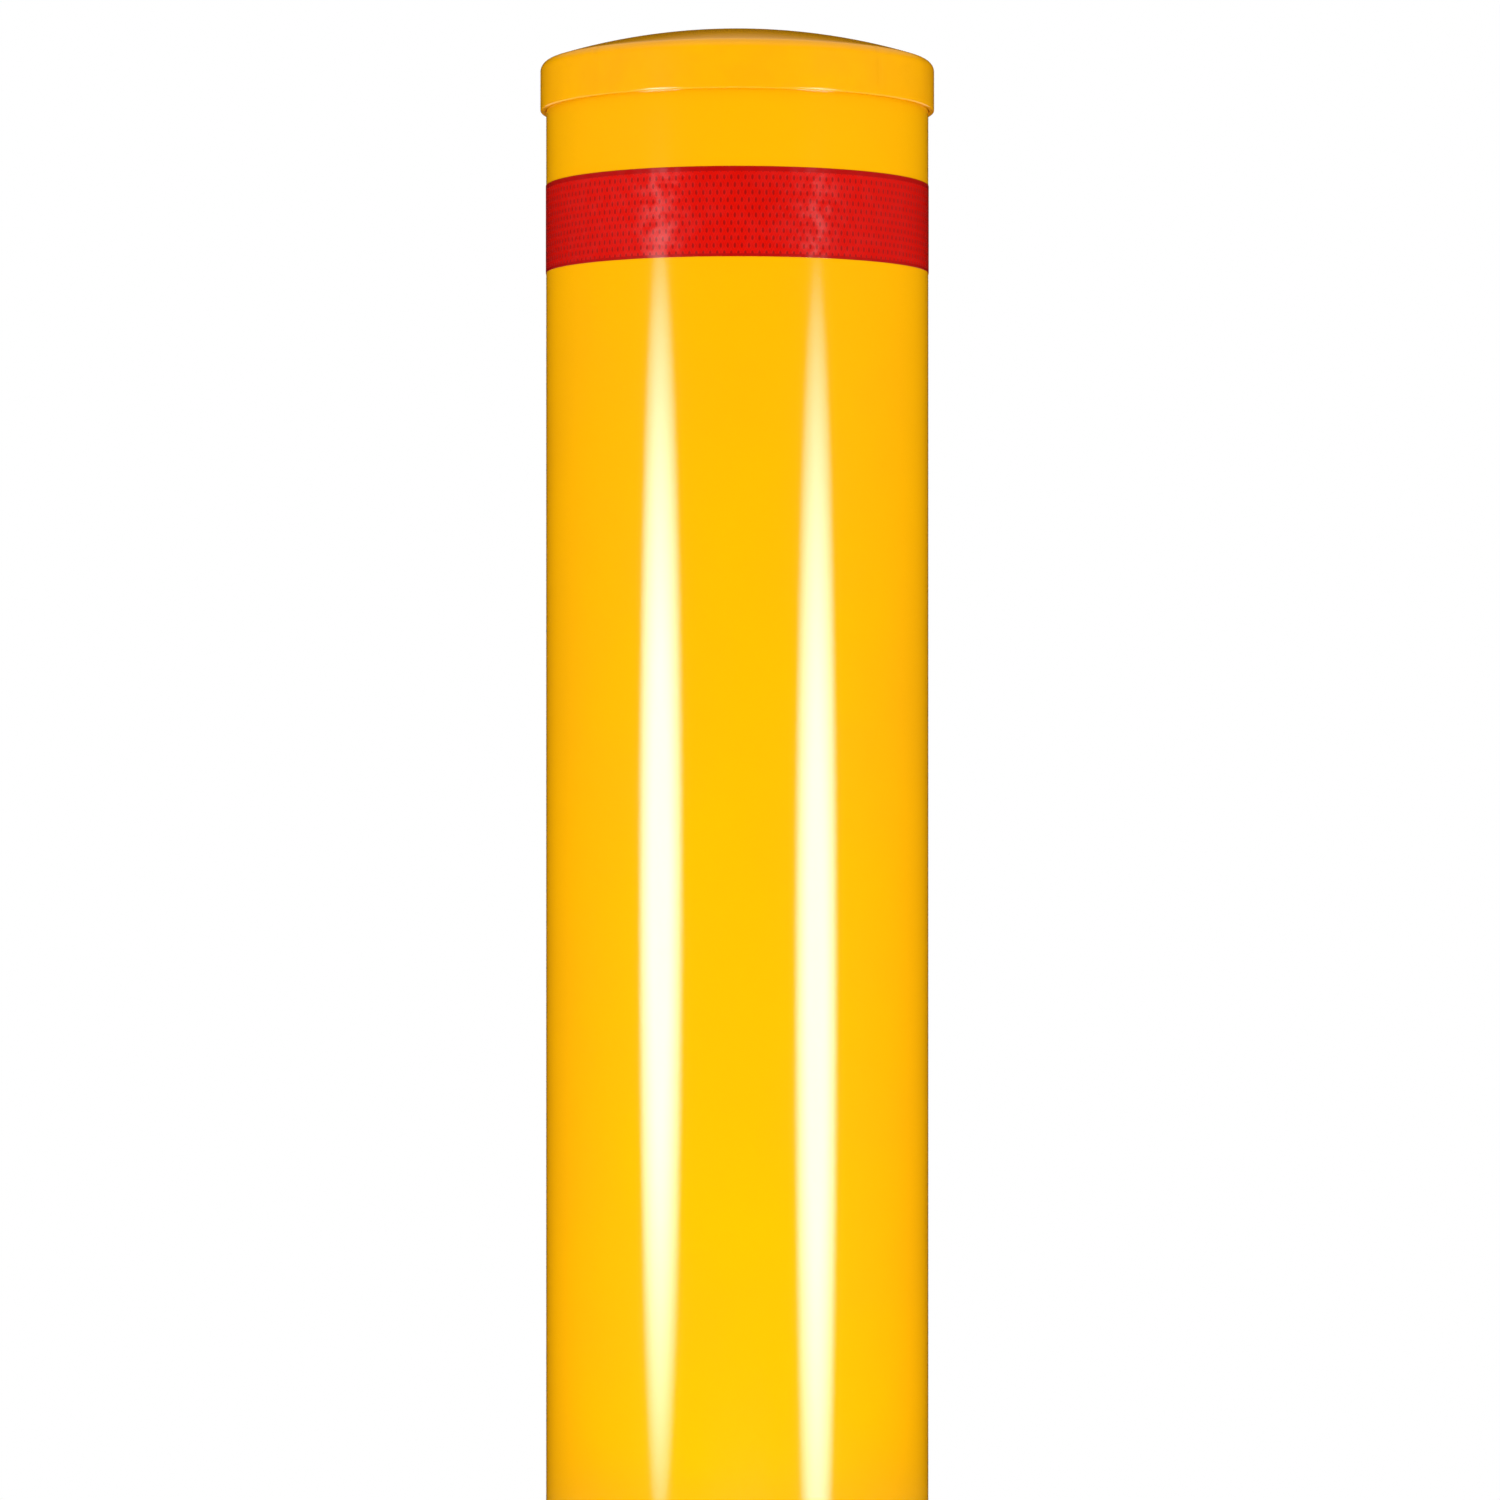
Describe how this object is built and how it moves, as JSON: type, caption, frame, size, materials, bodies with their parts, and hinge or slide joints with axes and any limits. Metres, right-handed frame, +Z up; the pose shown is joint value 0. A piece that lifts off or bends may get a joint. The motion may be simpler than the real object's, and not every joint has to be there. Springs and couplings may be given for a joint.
{
  "type": "retractable bollard",
  "caption": "Retractable bollard: a yellow steel post with a domed cap and a red reflective band, gas-sprung and key-locked, sliding in a casing set in the ground.",
  "frame": {"origin": "on the post's axis at the finished ground level, flush with the top of the ground ring", "axes": "+Z up along the post; -Y is the front; the latch bolts leave along +X and -X"},
  "size_m": [0.3999, 0.4, 2.1772],
  "materials": {
    "yellow_powder_coat": "glossy powder coat over galvanised steel",
    "yellow_cap": "glossy moulded polymer with a fine satin grain",
    "red_reflective": "retroreflective microprism film under a clear face",
    "galvanised_steel": "hot-dip galvanised, dull spangle",
    "stainless_steel": "brushed stainless",
    "zinc_fastener": "bright zinc plate",
    "machined_steel": "machined, lightly oiled",
    "reinforcing_bar": "mill scale with light rust",
    "black_cylinder": "satin black enamel",
    "chromed_rod": "hard chrome, ground",
    "bearing_polymer": "natural acetal, as turned",
    "black_rubber": "moulded, matt",
    "brass": "turned"
  },
  "bodies": {
    "casing": {"ground_ring": "stainless_steel", "ring_screws": "zinc_fastener", "casing_flange": "galvanised_steel", "guide_sleeve": "galvanised_steel", "upper_guide_bush": "bearing_polymer", "lower_guide_bush": "bearing_polymer", "wiper_seal": "black_rubber", "wiper_retainer": "stainless_steel", "wiper_screws": "zinc_fastener", "stop_ring": "galvanised_steel", "stop_ring_screws": "zinc_fastener", "casing_tube": "galvanised_steel", "casing_gussets": "galvanised_steel", "casing_base_plate": "galvanised_steel", "drain_spigot": "galvanised_steel", "drain_grate": "stainless_steel", "anchor_bars": "reinforcing_bar", "keeper_boxes": "galvanised_steel", "anti_rotation_rail": "galvanised_steel", "base_buffers": "black_rubber", "strut_cylinder_front": "black_cylinder", "strut_cylinder_rear": "black_cylinder", "strut_glands": "bearing_polymer", "strut_base_clevises": "galvanised_steel", "strut_base_pins": "zinc_fastener"},
    "post": {"bollard_tube": "yellow_powder_coat", "cap": "yellow_cap", "reflective_band": "red_reflective", "head_plate": "galvanised_steel", "lock_housing": "stainless_steel", "housing_screws": "zinc_fastener", "lock_bezel": "stainless_steel", "bezel_screws": "zinc_fastener", "cover_hinge_pin": "stainless_steel", "stop_flange": "galvanised_steel", "stop_buffer_ring": "black_rubber", "foot_ring": "galvanised_steel", "lower_guide_ring": "bearing_polymer", "guide_retainer": "galvanised_steel", "retainer_screws": "zinc_fastener", "strut_rod_front": "chromed_rod", "strut_rod_rear": "chromed_rod", "strut_pistons": "bearing_polymer", "strut_nuts": "zinc_fastener", "latch_upper_plate": "galvanised_steel", "latch_lower_plate": "galvanised_steel", "latch_guides": "machined_steel", "latch_screws": "zinc_fastener", "shaft_bush_upper": "brass", "shaft_bush_lower": "brass"},
    "lock_shaft": {"key_barrel": "brass", "shaft_coupling": "machined_steel", "shaft_pins": "zinc_fastener", "lock_shaft": "machined_steel", "lock_pinion": "machined_steel", "pinion_key": "zinc_fastener", "shaft_collar": "machined_steel"},
    "latch_bolt_right": {"latch_bolt_right": "machined_steel"},
    "latch_bolt_left": {"latch_bolt_left": "machined_steel"},
    "key_cover": {"key_cover": "stainless_steel"}
  },
  "joints": [
    {"name": "post_lift", "type": "slide", "parent": "casing", "child": "post", "axis": [0, 0, 1], "range_m": [-0.88, 0], "stiffness_N_per_m": 200, "springref_m": 3.5},
    {"name": "lock_turn", "type": "hinge", "parent": "post", "child": "lock_shaft", "pos_m": [0, 0, 0.85], "axis": [0, 0, 1], "range_deg": [0, 90]},
    {"name": "bolt_right_slide", "type": "slide", "parent": "post", "child": "latch_bolt_right", "axis": [1, 0, 0], "range_m": [0, 0.038]},
    {"name": "bolt_left_slide", "type": "slide", "parent": "post", "child": "latch_bolt_left", "axis": [-1, 0, 0], "range_m": [0, 0.038]},
    {"name": "key_cover_flip", "type": "hinge", "parent": "post", "child": "key_cover", "pos_m": [0, 0.023, 0.8962], "axis": [-1, 0, 0], "range_deg": [0, 100]}
  ],
  "couplings": [
    {"joint": "bolt_right_slide", "follows": "lock_turn", "m_per_rad": 0.024},
    {"joint": "bolt_left_slide", "follows": "lock_turn", "m_per_rad": 0.024}
  ]
}
